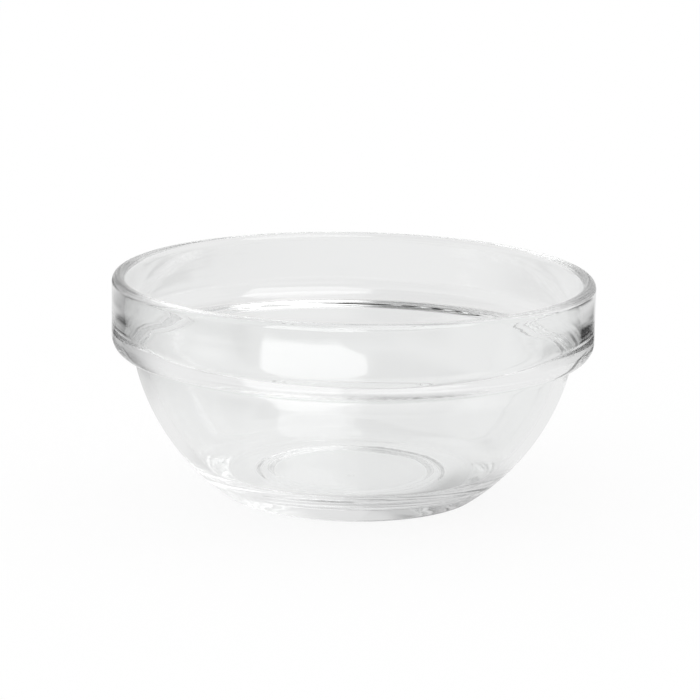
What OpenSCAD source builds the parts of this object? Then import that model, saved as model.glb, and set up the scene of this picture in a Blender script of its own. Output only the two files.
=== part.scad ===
// Stacking prep bowl: one piece of clear pressed glass, the same all round the Z axis.
// Lengths are in millimetres. The origin is the centre of the ring that the bowl stands on.

/* [Rim and collar] */
// Overall height of the bowl
bowl_h = 55; // [52:0.5:60]
// Outside diameter of the collar
collar_d = 120; // [112:1:130]
// Height of the collar, from the rim down to its underside
collar_h = 19.4; // [18:0.1:21]
// Thickness of the collar's wall
collar_wall = 3.3; // [2.7:0.1:3.8]
// How far the collar stands out past the body under it
collar_step = 5.2; // [4.6:0.1:6.5]
// Rounding of the rim towards the outside
rim_round = 1.7; // [1:0.1:2.5]
// Rounding of the collar's lower corner
corner_round = 4.4; // [2:0.1:5]
// Fillet between the collar's underside and the body
neck_round = 0.8; // [0.3:0.1:1.2]

/* [Ledge inside] */
// Depth of the ledge's inner edge below the rim
ledge_drop = 18.3; // [17.5:0.1:19]
// Slope of the ledge down towards the middle, in degrees
ledge_slope = 29; // [20:1:40]
// Fillet between the collar's bore and the ledge
ledge_fillet = 6.7; // [3:0.1:8]
// Rounding of the ledge's inner edge
ledge_edge_round = 1.4; // [0.6:0.1:2]

/* [Body] */
// Thickness of the body's wall
body_wall = 2.5; // [2.2:0.1:4]
// Diameter at which the body's outer curve would meet the table
body_foot_d = 62.5; // [58:0.5:70]
// Rounding between the outer curve and the ring that the bowl stands on
foot_round = 3; // [1:0.1:4]

/* [Base] */
// Height of the flat floor inside, above the table
floor_h = 6.2; // [5:0.1:9]
// Rounding between the floor and the wall inside
floor_round = 13.5; // [8:0.5:18]
// Diameter of the recess under the base
recess_d = 47.8; // [44:0.2:54]
// Depth of that recess
recess_depth = 0.9; // [0.5:0.1:2]
// Diameter of the round pad inside the recess
pad_d = 41.5; // [34:0.5:44]
// How much deeper that pad lies than the recess around it
pad_depth = 0.9; // [0.2:0.1:1.5]
// Width of the sloping edges of the recess and of the pad
edge_w = 1.1; // [0.3:0.1:1.5]

/* [Fineness] */
// How far a straight stretch may lie off the arc that it stands for
arc_gap = 0.02; // [0.01:0.01:0.1]

/* [Hidden] */

// Collar: outer radius, bore, and the height of its underside
collar_r = collar_d / 2;
bore_r = collar_r - collar_wall;
under_z = bowl_h - collar_h;
rim_inner_round = collar_wall - rim_round;

// The body is part of a ball that passes through the neck and the foot
neck_r = collar_r - collar_step;
foot_r = body_foot_d / 2;
ball_z = (pow(neck_r, 2) - pow(foot_r, 2) + pow(under_z, 2)) / (2 * under_z);
ball_c = [0, ball_z];
outer_ball_r = norm([foot_r, ball_z]);
inner_ball_r = outer_ball_r - body_wall;

// Half the width of a ball at a distance above or below its centre
function half_width(r, dz) = sqrt(pow(r, 2) - pow(dz, 2));

// Direction of a point as seen from the ball's centre, in degrees
function ball_angle(p) = atan2(p.y - ball_z, p.x);

// Centres of the arcs that blend the outside
foot_c = [half_width(outer_ball_r - foot_round, ball_z - foot_round), foot_round];
neck_c_z = under_z - neck_round;
neck_c = [half_width(outer_ball_r + neck_round, ball_z - neck_c_z), neck_c_z];

// The lower corner takes up no more than there is under the collar
corner_fit = min(corner_round, collar_r - neck_c.x - arc_gap);
corner_c = [collar_r - corner_fit, under_z + corner_fit];

// Centres of the arcs of the rim
rim_outer_c = [collar_r - rim_round, bowl_h - rim_round];
rim_inner_c = [collar_r - rim_round, bowl_h - rim_inner_round];

// The ledge's line runs from the bore down to the ball inside
ledge_z = bowl_h - ledge_drop;
ledge_r = half_width(inner_ball_r, ball_z - ledge_z);
ledge_top = [bore_r, ledge_z + (bore_r - ledge_r) * tan(ledge_slope)];
ledge_dir = [-cos(ledge_slope), -sin(ledge_slope)];
ledge_normal = [-sin(ledge_slope), cos(ledge_slope)];

// The edge's arc lies under the ledge's line and touches the ball inside
edge_start = ledge_top - ledge_edge_round * ledge_normal - ball_c;
edge_reach = edge_start * ledge_dir;
edge_gap = pow(norm(edge_start), 2) - pow(inner_ball_r + ledge_edge_round, 2);
edge_along = -edge_reach - sqrt(pow(edge_reach, 2) - edge_gap);
edge_c = ball_c + edge_start + edge_along * ledge_dir;

// The fillet takes up no more of the ledge than there is before that edge
fillet_turn = 90 - ledge_slope;
fillet_fit = min(ledge_fillet, (edge_along - arc_gap) / tan(fillet_turn / 2));
fillet_c = [bore_r - fillet_fit, ledge_top.y + fillet_fit * tan(fillet_turn / 2)];

// The floor's arc lies inside the ball and touches the floor
floor_c_z = floor_h + floor_round;
floor_c = [half_width(inner_ball_r - floor_round, ball_z - floor_c_z), floor_c_z];

// Recess and pad under the base
recess_r = recess_d / 2;
pad_r = pad_d / 2;
pad_z = recess_depth + pad_depth;

// Points along an arc of radius r about c. One that runs on into another arc leaves its last point to it.
function arc(c, r, from, to, runs_on = false) =
    let (step = 2 * acos(1 - min(arc_gap / r, 1)))
    let (steps = max(2, ceil(abs(to - from) / step)))
    let (last = runs_on ? steps - 1 : steps)
    [for (i = [0 : last])
        let (a = from + (to - from) * i / steps)
        c + r * [cos(a), sin(a)]];

function underside() = [
    [0, pad_z],
    [pad_r - edge_w, pad_z],
    [pad_r, recess_depth],
    [recess_r - edge_w, recess_depth],
    [recess_r, 0],
];

function outside() = concat(
    arc(foot_c, foot_round, -90, ball_angle(foot_c), true),
    arc(ball_c, outer_ball_r, ball_angle(foot_c), ball_angle(neck_c), true),
    arc(neck_c, neck_round, ball_angle(neck_c) + 180, 90),
    arc(corner_c, corner_fit, -90, 0),
    arc(rim_outer_c, rim_round, 0, 90, true)
);

function inside() = concat(
    arc(rim_inner_c, rim_inner_round, 90, 180),
    arc(fillet_c, fillet_fit, 0, -fillet_turn),
    arc(edge_c, ledge_edge_round, ledge_slope + 90, ball_angle(edge_c) + 180, true),
    arc(ball_c, inner_ball_r, ball_angle(edge_c), ball_angle(floor_c), true),
    arc(floor_c, floor_round, ball_angle(floor_c), -90),
    [[0, floor_h]]
);

module bowl() {
    color([0.88, 0.92, 0.92, 0.45])
        rotate_extrude($fn = 180)
            polygon(concat(underside(), outside(), inside()));
}

bowl();
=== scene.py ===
"""A clear pressed-glass prep bowl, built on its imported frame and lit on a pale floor."""

import logging
import math
from dataclasses import dataclass, field
from enum import Enum

import bpy
from mathutils import Matrix, Vector, noise


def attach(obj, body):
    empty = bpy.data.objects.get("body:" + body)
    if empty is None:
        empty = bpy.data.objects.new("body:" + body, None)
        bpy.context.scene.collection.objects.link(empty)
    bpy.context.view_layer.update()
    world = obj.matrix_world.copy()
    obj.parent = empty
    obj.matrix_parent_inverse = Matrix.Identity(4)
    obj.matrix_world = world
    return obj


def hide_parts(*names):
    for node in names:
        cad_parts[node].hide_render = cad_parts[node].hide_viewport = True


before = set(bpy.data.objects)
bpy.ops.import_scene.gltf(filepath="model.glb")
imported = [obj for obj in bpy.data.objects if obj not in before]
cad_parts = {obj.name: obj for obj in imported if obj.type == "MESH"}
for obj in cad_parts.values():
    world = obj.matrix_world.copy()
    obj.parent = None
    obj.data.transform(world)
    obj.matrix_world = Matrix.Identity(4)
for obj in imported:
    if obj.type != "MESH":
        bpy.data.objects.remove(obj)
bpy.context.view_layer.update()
MM = 0.001

# Turns in degrees
QUARTER_TURN = 90.0
HALF_TURN = 180.0
FULL_TURN = 360.0

# Widest turn from one point of an arc to the next, in radians
WIDEST_STEP = math.radians(7.0)

# Sockets of a mix node that mixes plain numbers
MIX_SHARE, MIX_FIRST, MIX_SECOND = 0, 2, 3

WHITE = (1.0, 1.0, 1.0, 1.0)

logging.basicConfig(level=logging.INFO, format="%(message)s")
LOG = logging.getLogger("prep_bowl")

# A point lies on a plane, such as (radius, height) on the section, and a corner is (x, y, z)
Point = tuple[float, float]
Corner = tuple[float, float, float]


class Place(Enum):
    """Where a studio card is: hung round the bowl, or laid on the table, where some cards are painted
    shade and painted light on the table's surface.
    """

    HUNG = "hung"
    LAID = "laid"


def clamp(value: float) -> float:
    """Keeps a value from 0 to 1."""
    return min(1.0, max(0.0, value))


def half_width(radius: float, offset: float) -> float:
    """Gives half the width of a ball at a distance from its centre."""
    return math.sqrt(radius**2 - offset**2)


def direction(centre: Point, point: Point) -> float:
    """Gives the direction in which a point is seen from a centre, in degrees."""
    return math.degrees(math.atan2(point[1] - centre[1], point[0] - centre[0]))


def arc(centre: Point, radius: float, start: float, end: float, step: float) -> list[Point]:
    """Gives points along an arc, without the last one.

    Args:
        centre: Radius and height of the arc's centre.
        radius: Radius of the arc.
        start: First direction, in degrees.
        end: Last direction, in degrees.
        step: Longest distance between two points.

    Returns:
        Points as (radius, height).
    """
    turn = math.radians(end - start)
    count = max(math.ceil(abs(turn) / WIDEST_STEP), math.ceil(abs(turn) * radius / step))
    points = []
    for i in range(count):
        angle = math.radians(start) + turn * i / count
        points.append((centre[0] + radius * math.cos(angle), centre[1] + radius * math.sin(angle)))
    return points


def straight(start: Point, end: Point, step: float) -> list[Point]:
    """Gives points along a straight stretch, without the last one.

    Args:
        start: First point, as (radius, height).
        end: Last point.
        step: Longest distance between two points.

    Returns:
        Points as (radius, height).
    """
    count = max(1, math.ceil(math.dist(start, end) / step))
    return [
        (start[0] + (end[0] - start[0]) * i / count, start[1] + (end[1] - start[1]) * i / count)
        for i in range(count)
    ]


def strips(rings: int, around: int) -> list[tuple[int, ...]]:
    """Gives the faces between neighbouring rings of points.

    Args:
        rings: Number of rings.
        around: Number of points in each ring.

    Returns:
        Faces as indices of points, ring after ring.
    """
    faces = []
    for i in range(rings - 1):
        row, top = i * around, (i + 1) * around
        for k in range(around):
            m = (k + 1) % around
            faces.append((row + k, row + m, top + m, top + k))
    return faces


def make_object(name: str, verts: list[Corner], faces: list[tuple[int, ...]]) -> bpy.types.Object:
    """Makes a mesh object and links it to the scene.

    Args:
        name: Name of the object and of its mesh.
        verts: Corners, in metres.
        faces: Indices of each face's corners.

    Returns:
        The new object.
    """
    mesh = bpy.data.meshes.new(name)
    mesh.from_pydata(verts, [], faces)
    thing = bpy.data.objects.new(name, mesh)
    bpy.context.scene.collection.objects.link(thing)
    return thing


def bare_tree(owner: bpy.types.Material | bpy.types.World) -> bpy.types.NodeTree:
    """Empties a node tree.

    Args:
        owner: The material or world that the tree belongs to.

    Returns:
        The tree, with nothing in it.
    """
    owner.use_nodes = True
    owner.node_tree.nodes.clear()
    return owner.node_tree


@dataclass(frozen=True)
class ClearGlass:
    """Colourless glass with the fine drawn-out streaks that a press leaves in its skin."""

    ior: float = 1.52
    roughness: float = 0.0
    tint: tuple[float, float, float] = (0.985, 0.99, 0.988)
    streak_round: float = 260.0
    streak_across: float = 1500.0
    streak_depth: float = 0.0000015
    streak_detail: float = 2.0

    def streaks(self, tree: bpy.types.NodeTree) -> bpy.types.NodeSocket:
        """Adds a height field of streaks that run round the bowl.

        Args:
            tree: Node tree to add to.

        Returns:
            Socket with the height, about 0 to 1.
        """
        place = tree.nodes.new("ShaderNodeTexCoord")
        stretch = tree.nodes.new("ShaderNodeMapping")
        scale = (self.streak_round, self.streak_round, self.streak_across)
        stretch.inputs["Scale"].default_value = scale
        grain = tree.nodes.new("ShaderNodeTexNoise")
        grain.inputs["Scale"].default_value = 1.0
        grain.inputs["Detail"].default_value = self.streak_detail
        tree.links.new(place.outputs["Object"], stretch.inputs["Vector"])
        tree.links.new(stretch.outputs["Vector"], grain.inputs["Vector"])
        return grain.outputs["Fac"]

    def make(self) -> bpy.types.Material:
        """Builds the material.

        Returns:
            A material with a Principled shader.
        """
        material = bpy.data.materials.new("clear_glass")
        material.use_nodes = True
        tree = material.node_tree
        shader = tree.nodes["Principled BSDF"]
        shader.inputs["Base Color"].default_value = (*self.tint, 1.0)
        shader.inputs["Transmission Weight"].default_value = 1.0
        shader.inputs["Roughness"].default_value = self.roughness
        shader.inputs["IOR"].default_value = self.ior
        bump = tree.nodes.new("ShaderNodeBump")
        bump.inputs["Strength"].default_value = 1.0
        bump.inputs["Distance"].default_value = self.streak_depth
        tree.links.new(self.streaks(tree), bump.inputs["Height"])
        tree.links.new(bump.outputs["Normal"], shader.inputs["Normal"])
        return material


@dataclass(frozen=True)
class Ripples:
    """Low waves and fine drawn rings that pressing and cooling leave in the glass. Millimetres."""

    depth: float = 0.018
    round_it: float = 24.0
    across: float = 8.0
    broad_share: float = 0.65
    fine_share: float = 0.35
    finer: float = 2.3
    fine_start: Point = (7.1, 3.7)
    ring_depth: float = 0.024
    ring_round: float = 34.0
    ring_across: float = 1.5
    ring_heights: tuple[float, float] = (30.0, 51.0)
    ring_fade: float = 3.0
    foot_clear: float = 0.4
    foot_fade: float = 2.0
    outside_seed: float = 0.0
    inside_seed: float = 11.3

    def waves(self, spot: Vector, seed: float) -> float:
        """Gives the depth of the low waves at a point.

        Args:
            spot: The point, in millimetres.
            seed: Offset into the waves.

        Returns:
            A depth in millimetres.
        """
        where = Vector((spot.x / self.round_it, spot.y / self.round_it, spot.z / self.across + seed))
        broad = noise.noise(where)
        fine = noise.noise(where * self.finer + Vector((seed, *self.fine_start)))
        return self.depth * (1.0 + self.broad_share * broad + self.fine_share * fine)

    def rings(self, spot: Vector, seed: float) -> float:
        """Gives the depth of the drawn rings at a point.

        Args:
            spot: The point, in millimetres.
            seed: Offset into the rings.

        Returns:
            A depth in millimetres, zero outside the heights that the rings keep to.
        """
        beside = (spot.x / self.ring_round, spot.y / self.ring_round)
        drawn = Vector((*beside, spot.z / self.ring_across - seed))
        low, high = self.ring_heights
        here = clamp(min(spot.z - low, high - spot.z) / self.ring_fade)
        return here * self.ring_depth * (1.0 + noise.noise(drawn))

    def sink(self, spot: Vector, seed: float) -> float:
        """Gives how far a point lies below the plain section, zero on the ring under the base."""
        fade = clamp((spot.z - self.foot_clear) / self.foot_fade)
        return fade * (self.waves(spot, seed) + self.rings(spot, seed))


@dataclass
class PressedBowl:
    """The bowl: collar, ledge, round body and base, turned about the Z axis. Sizes in millimetres."""

    height: float = 55.0
    collar_d: float = 120.0
    collar_h: float = 19.4
    collar_wall: float = 3.3
    collar_step: float = 5.2
    rim_round: float = 1.7
    corner_round: float = 4.4
    neck_round: float = 0.8
    ledge_drop: float = 18.3
    ledge_slope: float = 29.0
    ledge_fillet: float = 6.7
    ledge_edge_round: float = 1.4
    body_wall: float = 2.5
    foot_d: float = 62.5
    foot_round: float = 3.0
    floor_h: float = 6.2
    floor_round: float = 13.5
    recess_d: float = 47.8
    recess_depth: float = 0.9
    pad_d: float = 41.5
    pad_depth: float = 0.9
    edge_w: float = 1.1
    step: float = 0.8
    sides: int = 330
    glass: ClearGlass = field(default_factory=ClearGlass)
    ripples: Ripples = field(default_factory=Ripples)

    @property
    def collar_r(self) -> float:
        """Radius of the collar's outside."""
        return self.collar_d / 2

    @property
    def bore_r(self) -> float:
        """Radius of the collar's inside."""
        return self.collar_r - self.collar_wall

    @property
    def under_z(self) -> float:
        """Height of the collar's underside."""
        return self.height - self.collar_h

    @property
    def ball(self) -> Point:
        """Centre of the ball that the body is a part of."""
        neck_r, foot_r = self.collar_r - self.collar_step, self.foot_d / 2
        return (0.0, (neck_r**2 - foot_r**2 + self.under_z**2) / (2 * self.under_z))

    @property
    def outer_r(self) -> float:
        """Radius of the body's outside."""
        return math.hypot(self.foot_d / 2, self.ball[1])

    @property
    def inner_r(self) -> float:
        """Radius of the body's inside."""
        return self.outer_r - self.body_wall

    @property
    def foot_c(self) -> Point:
        """Centre of the rounding between the body and the ring that the bowl stands on."""
        out = half_width(self.outer_r - self.foot_round, self.ball[1] - self.foot_round)
        return (out, self.foot_round)

    def ledge_centres(self) -> tuple[Point, Point]:
        """Finds the centres of the ledge's two roundings.

        Returns:
            Centre of the fillet beside the bore, and centre of the rounded inner edge.
        """
        ball_z = self.ball[1]
        slope = math.radians(self.ledge_slope)
        ledge_z = self.height - self.ledge_drop
        ledge_r = half_width(self.inner_r, ball_z - ledge_z)
        top = Vector((self.bore_r, ledge_z + (self.bore_r - ledge_r) * math.tan(slope)))
        along = Vector((-math.cos(slope), -math.sin(slope)))
        out_of_ledge = Vector((-math.sin(slope), math.cos(slope)))
        rise = self.ledge_fillet * math.tan(math.radians(QUARTER_TURN - self.ledge_slope) / 2)
        # The edge's arc lies under the ledge's line and touches the ball inside
        reach = top - self.ledge_edge_round * out_of_ledge - Vector((0.0, ball_z))
        dot = reach.dot(along)
        gap = reach.length_squared - (self.inner_r + self.ledge_edge_round) ** 2
        edge = Vector((0.0, ball_z)) + reach + (-dot - math.sqrt(dot**2 - gap)) * along
        return (self.bore_r - self.ledge_fillet, top.y + rise), (edge.x, edge.y)

    def underside(self) -> list[Point]:
        """Draws the pad, the recess and the ring under the base, from the middle out.

        Returns:
            Points as (radius, height), in millimetres.
        """
        recess_r, pad_r = self.recess_d / 2, self.pad_d / 2
        pad_z = self.recess_depth + self.pad_depth
        corners = [
            (0.0, pad_z),
            (pad_r - self.edge_w, pad_z),
            (pad_r, self.recess_depth),
            (recess_r - self.edge_w, self.recess_depth),
            (recess_r, 0.0),
            (self.foot_c[0], 0.0),
        ]
        points = []
        for start, end in zip(corners, corners[1:]):
            points += straight(start, end, self.step)
        return points

    def outside(self) -> list[Point]:
        """Draws the foot, the body, the collar's underside, its corner and half the rim.

        Returns:
            Points as (radius, height), in millimetres.
        """
        ball, foot_c, step = self.ball, self.foot_c, self.step
        neck_z = self.under_z - self.neck_round
        neck_c = (half_width(self.outer_r + self.neck_round, ball[1] - neck_z), neck_z)
        corner_c = (self.collar_r - self.corner_round, self.under_z + self.corner_round)
        rim_c = (self.collar_r - self.rim_round, self.height - self.rim_round)
        to_foot, to_neck = direction(ball, foot_c), direction(ball, neck_c)
        points = arc(foot_c, self.foot_round, -QUARTER_TURN, to_foot, step)
        points += arc(ball, self.outer_r, to_foot, to_neck, step)
        points += arc(neck_c, self.neck_round, to_neck + HALF_TURN, QUARTER_TURN, step)
        points += straight((neck_c[0], self.under_z), (corner_c[0], self.under_z), step)
        points += arc(corner_c, self.corner_round, -QUARTER_TURN, 0.0, step)
        points += straight((self.collar_r, corner_c[1]), (self.collar_r, rim_c[1]), step)
        points += arc(rim_c, self.rim_round, 0.0, QUARTER_TURN, step)
        return points

    def inside(self) -> list[Point]:
        """Draws the other half of the rim, the bore, the ledge, the hollow and its floor.

        Returns:
            Points as (radius, height), in millimetres.
        """
        ball, step = self.ball, self.step
        rim_inner = self.collar_wall - self.rim_round
        rim_c = (self.collar_r - self.rim_round, self.height - rim_inner)
        fillet_c, edge_c = self.ledge_centres()
        floor_z = self.floor_h + self.floor_round
        floor_c = (half_width(self.inner_r - self.floor_round, ball[1] - floor_z), floor_z)
        to_edge, to_floor = direction(ball, edge_c), direction(ball, floor_c)
        points = arc(rim_c, rim_inner, QUARTER_TURN, HALF_TURN, step)
        points += straight((self.bore_r, rim_c[1]), (self.bore_r, fillet_c[1]), step)
        points += arc(fillet_c, self.ledge_fillet, 0.0, self.ledge_slope - QUARTER_TURN, step)
        edge_start, edge_end = self.ledge_slope + QUARTER_TURN, to_edge + HALF_TURN
        points += arc(edge_c, self.ledge_edge_round, edge_start, edge_end, step)
        points += arc(ball, self.inner_r, to_edge, to_floor, step)
        points += arc(floor_c, self.floor_round, to_floor, -QUARTER_TURN, step)
        points += straight((floor_c[0], self.floor_h), (0.0, self.floor_h), step)
        points.append((0.0, self.floor_h))
        return points

    def outline(self) -> list[Point]:
        """Draws the half section, from the middle of the underside round to the middle of the floor."""
        return self.underside() + self.outside() + self.inside()

    def rippled(self, outline: list[Point]) -> list[Corner]:
        """Turns the outline about the axis and sinks each point by the ripples there.

        Args:
            outline: The half section, whose two ends lie on the axis.

        Returns:
            Points in metres, ring after ring, without the two on the axis.
        """
        verts = []
        ring = outline[1:-1]
        rim = max(range(len(ring)), key=lambda i: ring[i][1])
        for i, (r, z) in enumerate(ring):
            run = Vector(outline[i + 2]) - Vector(outline[i])
            out = Vector((run.y, -run.x)).normalized()
            seed = self.ripples.outside_seed if i <= rim else self.ripples.inside_seed
            for k in range(self.sides):
                a = math.tau * k / self.sides
                sink = self.ripples.sink(Vector((r * math.cos(a), r * math.sin(a), z)), seed)
                at = r - sink * out.x
                verts.append((at * math.cos(a) * MM, at * math.sin(a) * MM, (z - sink * out.y) * MM))
        return verts

    def build(self) -> bpy.types.Object:
        """Makes the bowl and dresses it.

        Returns:
            The bowl as a closed mesh object.
        """
        outline = self.outline()
        verts = self.rippled(outline)
        faces = strips(len(outline) - 2, self.sides)
        # Fans of triangles close the middle of the underside and of the floor
        under, floor = len(verts), len(verts) + 1
        last = under - self.sides
        verts.append((0.0, 0.0, outline[0][1] * MM))
        verts.append((0.0, 0.0, outline[-1][1] * MM))
        for k in range(self.sides):
            m = (k + 1) % self.sides
            faces.append((under, m, k))
            faces.append((floor, last + k, last + m))
        bowl = make_object("glass_bowl", verts, faces)
        bowl.data.validate()
        bowl.data.update()
        bowl.data.shade_smooth()
        bowl.data.materials.append(self.glass.make())
        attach(bowl, "root")
        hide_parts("bowl")
        return bowl


@dataclass(frozen=True)
class Card:
    """A curved studio card with soft edges, told by where it begins and ends as seen from the bowl.

    Turns are degrees to the right of the camera's side. A hung card reaches from one rise to another,
    in degrees above the table, and a laid one from one distance to another, in metres.
    """

    name: str
    place: Place
    left: float
    right: float
    start: float
    end: float
    strength: float
    soft: float

    def fade(self, off: float) -> float:
        """Gives how much of the card is left at a share of the way from its middle to its edge."""
        t = clamp((1.0 - off) / self.soft)
        return t * t * (3.0 - 2.0 * t)

    def cover(self, turn: float, at: float) -> float:
        """Gives how far the card hides what is behind it in one direction.

        Args:
            turn: Direction, in degrees to the right of the camera's side.
            at: Rise in degrees, or distance in metres on the table.

        Returns:
            0 beside the card, 1 in its middle.
        """
        half = (self.right - self.left) / 2
        aside = (turn - self.left - half + HALF_TURN) % FULL_TURN - HALF_TURN
        if self.place is Place.HUNG:
            along = abs(2.0 * at - self.start - self.end) / (self.end - self.start)
        else:
            along = abs(math.log(at * at / (self.start * self.end))) / math.log(self.end / self.start)
        return self.fade(abs(aside) / half) * self.fade(along)

    def over(self, tone: float, turn: float, at: float) -> float:
        """Lays the card over the tone behind it in one direction."""
        return tone + (self.strength - tone) * self.cover(turn, at)


@dataclass(frozen=True)
class Softbox:
    """A flat bright panel with eight sides, whose mirrored image makes the highlights.

    Its corners are shares of its distance, to the right and up from its middle, counted anticlockwise.
    It glows at full strength at its foot and fades to the top strength over one such distance.
    """

    turn: float = 33.0
    rise: float = 47.0
    strength: float = 3.0
    top_strength: float = 2.0
    foot: float = -0.5
    soft: float = 0.05
    corners: tuple[Point, ...] = (
        (-0.41, -0.28),
        (0.41, -0.46),
        (0.55, 0.10),
        (0.42, 0.42),
        (0.10, 0.50),
        (-0.30, 0.35),
        (-0.53, 0.20),
        (-0.64, 0.00),
    )

    def cover(self, right: float, up: float) -> float:
        """Gives how far the panel fills one place on its plane.

        Args:
            right: Share of the panel's distance, to the right from its middle.
            up: Share of that distance, upwards from its middle.

        Returns:
            0 beside the panel, 1 in its middle.
        """
        cover = 1.0
        for start, end in zip(self.corners, self.corners[1:] + self.corners[:1]):
            side = (end[0] - start[0]) * (up - start[1]) - (end[1] - start[1]) * (right - start[0])
            inside = side / math.dist(start, end)
            cover *= clamp((inside + self.soft / 2) / self.soft)
        return cover

    def over(self, tone: float, turn: float, rise: float) -> float:
        """Lays the panel over the tone behind it in one direction.

        Args:
            tone: The tone behind the panel.
            turn: Direction, in degrees to the right of the camera's side.
            rise: Degrees above the table.

        Returns:
            The tone with the panel in front.
        """
        aside, height = math.radians(turn - self.turn), math.radians(rise)
        tilt = math.radians(self.rise)
        level = math.cos(height) * math.cos(aside)
        ahead = level * math.cos(tilt) + math.sin(height) * math.sin(tilt)
        if ahead <= 0.0:
            return tone
        right = math.cos(height) * math.sin(aside) / ahead
        up = (math.sin(height) * math.cos(tilt) - level * math.sin(tilt)) / ahead
        glow = self.strength + (self.top_strength - self.strength) * clamp(up - self.foot)
        return tone + (glow - tone) * self.cover(right, up)


@dataclass
class Studio:
    """The pale floor, the surroundings that the glass sees, and the camera.

    The lens, the eye, the aim and the two drops are in millimetres, and other lengths in metres. The
    roll is in degrees.
    """

    lens: float = 183.4
    eye: Corner = (0.0, -867.5, 226.9)
    aim: Corner = (-0.7, 0.0, 35.91)
    roll: float = 1.02
    in_glass: float = 0.85
    air: float = 0.80
    floor_glow: float = 0.9
    floor_half: float = 3.0
    floor_drop: float = 0.05
    sheet_drop: float = 0.02
    dome_r: float = 4.0
    table_r: tuple[float, float] = (0.001, 6.0)
    sheet_sides: int = 360
    sheet_steps: int = 90
    bounces: int = 96
    mirror_bounces: int = 64
    cards: tuple[Card, ...] = (
        Card("overhead_light", Place.HUNG, 52.0, 137.0, 46.7, 113.3, 1.38, 0.58),
        Card("black_left", Place.HUNG, -106.0, -3.0, 27.1, 89.5, 0.09, 0.39),
        Card("grey_over_back_left", Place.HUNG, -157.0, -99.0, 36.0, 100.7, 0.62, 0.10),
        Card("dark_strip_back_left", Place.HUNG, -171.0, -148.0, 3.6, 37.4, 0.33, 0.96),
        Card("black_back", Place.HUNG, -184.0, -153.0, 35.8, 69.9, 0.00, 0.19),
        Card("black_beside_camera", Place.HUNG, -68.0, 11.0, -8.7, 29.4, 0.11, 0.64),
        Card("grey_right", Place.HUNG, 72.0, 117.0, 47.1, 69.2, 0.41, 0.18),
        Card("grey_front_right", Place.HUNG, 53.0, 77.0, 1.2, 35.9, 0.47, 0.27),
        Card("dark_table_back_left", Place.LAID, -162.0, -72.0, 0.073, 0.669, 0.14, 1.00),
        Card("black_table_back_right", Place.LAID, 71.0, 157.0, 0.187, 0.296, 0.00, 0.67),
        Card("dark_far_table_front", Place.LAID, -61.0, 8.0, 0.810, 21.097, 0.04, 0.50),
        Card("black_far_table_back_left", Place.LAID, -161.0, -136.0, 0.291, 2.453, 0.00, 0.19),
        Card("lit_table_front", Place.LAID, -47.0, -2.0, 0.045, 0.096, 1.00, 0.21),
        Card("shade_under_base", Place.LAID, -50.0, 125.0, 0.023, 0.052, 0.28, 1.00),
        Card("grey_far_table_right", Place.LAID, 76.0, 158.0, 0.237, 3.022, 0.71, 0.10),
        Card("dark_table_left", Place.LAID, -81.0, -41.0, 0.236, 0.788, 0.06, 0.44),
        Card("light_caught_in_front", Place.LAID, -65.0, 85.0, 0.088, 0.115, 1.54, 0.43),
        Card("shade_in_front_left", Place.LAID, -72.0, -22.0, 0.078, 0.109, 0.20, 1.00),
        Card("black_streak_back_left", Place.LAID, -148.0, -120.0, 0.184, 0.228, 0.00, 0.31),
        Card("grey_table_back_left", Place.LAID, -180.0, -112.0, 0.197, 1.421, 0.52, 1.00),
        Card("grey_table_right", Place.LAID, 50.0, 88.0, 0.089, 0.925, 0.83, 0.21),
        Card("lit_table_left", Place.LAID, -81.0, -48.0, 0.203, 0.308, 1.39, 0.89),
        Card("black_gap_back_left", Place.HUNG, -161.0, -145.0, 20.7, 30.4, 0.00, 0.83),
        Card("grey_under_softbox", Place.HUNG, -37.0, 77.0, 16.0, 30.2, 0.41, 0.34),
        Card("lit_wall_left", Place.HUNG, -122.0, -92.0, 3.4, 21.6, 1.02, 0.52),
        Card("grey_strip_back", Place.HUNG, 147.0, 190.0, 40.5, 48.6, 0.64, 0.50),
        Card("black_table_right", Place.LAID, 102.0, 153.0, 0.165, 0.275, 0.05, 0.30),
        Card("shade_under_left", Place.LAID, -112.0, -40.0, 0.033, 0.057, 0.72, 1.00),
        # Painted shadow: a dim patch on the table sheet at the base's front-right, where the bowl's
        # contact shadow falls, seen only in the glass
        Card("shadow_under_right", Place.LAID, 30.0, 104.0, 0.022, 0.033, 0.45, 1.00),
    )
    softbox: Softbox = Softbox()

    def light_paths(self) -> None:
        """Lets light pass the many surfaces that a ray meets inside thick glass."""
        paths = bpy.context.scene.cycles
        paths.max_bounces = self.bounces
        paths.glossy_bounces = self.mirror_bounces
        paths.transmission_bounces = self.bounces

    def seen_in_glass(self, tree: bpy.types.NodeTree) -> bpy.types.NodeSocket:
        """Adds nodes that tell rays that left the glass from all others.

        Args:
            tree: Node tree to add to.

        Returns:
            A socket that is 1 for such rays and 0 for others.
        """
        path = tree.nodes.new("ShaderNodeLightPath")
        either = tree.nodes.new("ShaderNodeMath")
        either.operation = "MAXIMUM"
        tree.links.new(path.outputs["Is Glossy Ray"], either.inputs[0])
        tree.links.new(path.outputs["Is Transmission Ray"], either.inputs[1])
        return either.outputs[0]

    def white_or_grey(
        self, tree: bpy.types.NodeTree, in_glass: bpy.types.NodeSocket
    ) -> bpy.types.NodeSocket:
        """Adds a tone that is pale grey in the glass and white to everything else.

        Args:
            tree: Node tree to add to.
            in_glass: Socket that is 1 for rays that left the glass.

        Returns:
            Socket with the tone.
        """
        tone = tree.nodes.new("ShaderNodeMix")
        tone.data_type = "FLOAT"
        tone.inputs[MIX_FIRST].default_value = 1.0
        tone.inputs[MIX_SECOND].default_value = self.in_glass
        tree.links.new(in_glass, tone.inputs[MIX_SHARE])
        return tone.outputs[0]

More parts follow.
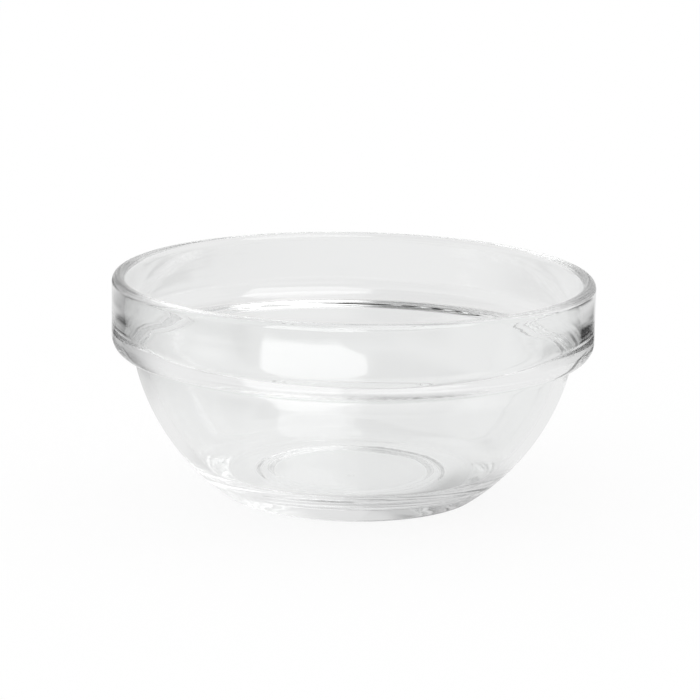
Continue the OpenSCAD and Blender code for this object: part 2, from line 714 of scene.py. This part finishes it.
    def tone(self, place: Place, turn: float, at: float) -> float:
        """Gives the tone that the glass sees in one direction.

        Args:
            place: The dome or the table.
            turn: Direction, in degrees to the right of the camera's side.
            at: Rise in degrees, or distance in metres on the table.

        Returns:
            The tone, with later cards in front of earlier ones.
        """
        tone = self.air if place is Place.HUNG else self.in_glass
        for card in self.cards:
            if card.place is place:
                tone = card.over(tone, turn, at)
        if place is Place.HUNG:
            tone = self.softbox.over(tone, turn, at)
        return tone

    def backdrop_ring(self, place: Place, share: float) -> tuple[float, float, float]:
        """Gives one ring of a backdrop.

        Args:
            place: The dome or the table.
            share: Share of the way from the horizon up, or from the middle of the table out.

        Returns:
            Rise in degrees or distance in metres, then the ring's radius and height in metres.
        """
        if place is Place.LAID:
            near, away = self.table_r
            at = near * (away / near) ** share
            return at, at, -self.sheet_drop * MM
        rise = QUARTER_TURN * share
        angle = math.radians(rise)
        return rise, self.dome_r * math.cos(angle), self.dome_r * math.sin(angle)

    def backdrop(self, place: Place) -> bpy.types.Object:
        """Builds the dome or the table's tones, the table's with their painted shade and painted light,
        as one glowing sheet that only the glass sees.

        Args:
            place: Which of the two.

        Returns:
            The sheet's object.
        """
        sides, rings = self.sheet_sides, self.sheet_steps + 1
        verts, tones = [], []
        for i in range(rings):
            at, out, z = self.backdrop_ring(place, i / self.sheet_steps)
            for k in range(sides):
                turn = math.tau * k / sides
                verts.append((out * math.sin(turn), -out * math.cos(turn), z))
                tones.append(self.tone(place, math.degrees(turn), at))
        sheet = make_object("backdrop_" + place.value, verts, strips(rings, sides))
        sheet.data.attributes.new("tone", "FLOAT", "POINT").data.foreach_set("value", tones)
        sheet.data.materials.append(self.glow(sheet.name))
        sheet.visible_camera = False
        sheet.visible_diffuse = False
        sheet.visible_shadow = False
        return sheet

    def glow(self, name: str) -> bpy.types.Material:
        """Makes a material that glows with the tone stored at each point.

        Args:
            name: Name of the material.

        Returns:
            The material.
        """
        material = bpy.data.materials.new(name)
        tree = bare_tree(material)
        told = tree.nodes.new("ShaderNodeAttribute")
        told.attribute_name = "tone"
        light = tree.nodes.new("ShaderNodeEmission")
        out = tree.nodes.new("ShaderNodeOutputMaterial")
        tree.links.new(told.outputs["Fac"], light.inputs["Strength"])
        tree.links.new(light.outputs[0], out.inputs["Surface"])
        material.cycles.emission_sampling = "NONE"
        return material

    def surroundings(self) -> None:
        """Gives the world its tones: white for plain light and the camera, pale grey in the glass."""
        world = bpy.data.worlds.new("studio")
        bpy.context.scene.world = world
        tree = bare_tree(world)
        out = tree.nodes.new("ShaderNodeOutputWorld")
        back = tree.nodes.new("ShaderNodeBackground")
        back.inputs["Color"].default_value = WHITE
        tone = self.white_or_grey(tree, self.seen_in_glass(tree))
        tree.links.new(tone, back.inputs["Strength"])
        tree.links.new(back.outputs[0], out.inputs["Surface"])

    def pale_floor(self) -> bpy.types.Material:
        """Makes the floor's material, which glows to the camera and still takes a share of the shadow.

        Returns:
            The material.
        """
        material = bpy.data.materials.new("pale_floor")
        tree = bare_tree(material)
        out = tree.nodes.new("ShaderNodeOutputMaterial")
        matt = tree.nodes.new("ShaderNodeBsdfDiffuse")
        matt.inputs["Color"].default_value = WHITE
        pale = tree.nodes.new("ShaderNodeEmission")
        path = tree.nodes.new("ShaderNodeLightPath")
        in_glass = self.seen_in_glass(tree)
        tree.links.new(self.white_or_grey(tree, in_glass), pale.inputs["Strength"])
        seen = tree.nodes.new("ShaderNodeMath")
        seen.operation = "MAXIMUM"
        tree.links.new(path.outputs["Is Camera Ray"], seen.inputs[0])
        tree.links.new(in_glass, seen.inputs[1])
        share = tree.nodes.new("ShaderNodeMath")
        share.operation = "MULTIPLY"
        share.inputs[1].default_value = self.floor_glow
        tree.links.new(seen.outputs[0], share.inputs[0])
        both = tree.nodes.new("ShaderNodeMixShader")
        tree.links.new(share.outputs[0], both.inputs[0])
        tree.links.new(matt.outputs[0], both.inputs[1])
        tree.links.new(pale.outputs[0], both.inputs[2])
        tree.links.new(both.outputs[0], out.inputs["Surface"])
        return material

    def floor(self) -> bpy.types.Object:
        """Lays the pale floor just under the bowl.

        Returns:
            The floor's object.
        """
        half = self.floor_half
        verts = [(-half, -half, 0.0), (half, -half, 0.0), (half, half, 0.0), (-half, half, 0.0)]
        floor = make_object("studio_floor", verts, [(0, 1, 2, 3)])
        floor.location.z = -self.floor_drop * MM
        floor.data.materials.append(self.pale_floor())
        return floor

    def camera(self) -> bpy.types.Object:
        """Places the camera at the photograph's angle.

        Returns:
            The camera's object.
        """
        data = bpy.data.cameras.new("camera")
        data.lens = self.lens
        camera = bpy.data.objects.new("camera", data)
        bpy.context.scene.collection.objects.link(camera)
        eye = Vector(self.eye) * MM
        look = Vector(self.aim) * MM - eye
        rolled = Matrix.Rotation(math.radians(self.roll), 3, "Z")
        turned = look.to_track_quat("-Z", "Y").to_matrix() @ rolled
        camera.matrix_world = Matrix.Translation(eye) @ turned.to_4x4()
        bpy.context.scene.camera = camera
        return camera

    def build(self) -> list[bpy.types.Object]:
        """Sets up the whole studio.

        Returns:
            The floor, the two backdrops and the camera.
        """
        self.light_paths()
        self.surroundings()
        placed = [self.floor()]
        placed += [self.backdrop(place) for place in Place]
        placed.append(self.camera())
        bpy.context.scene.view_settings.view_transform = "Standard"
        return placed


def main() -> None:
    """Builds the bowl and its studio, and reports each piece."""
    bowl = PressedBowl().build()
    LOG.info("%s: %d faces", bowl.name, len(bowl.data.polygons))
    for thing in Studio().build():
        LOG.info("studio: %s", thing.name)


if __name__ == "__main__":
    main()
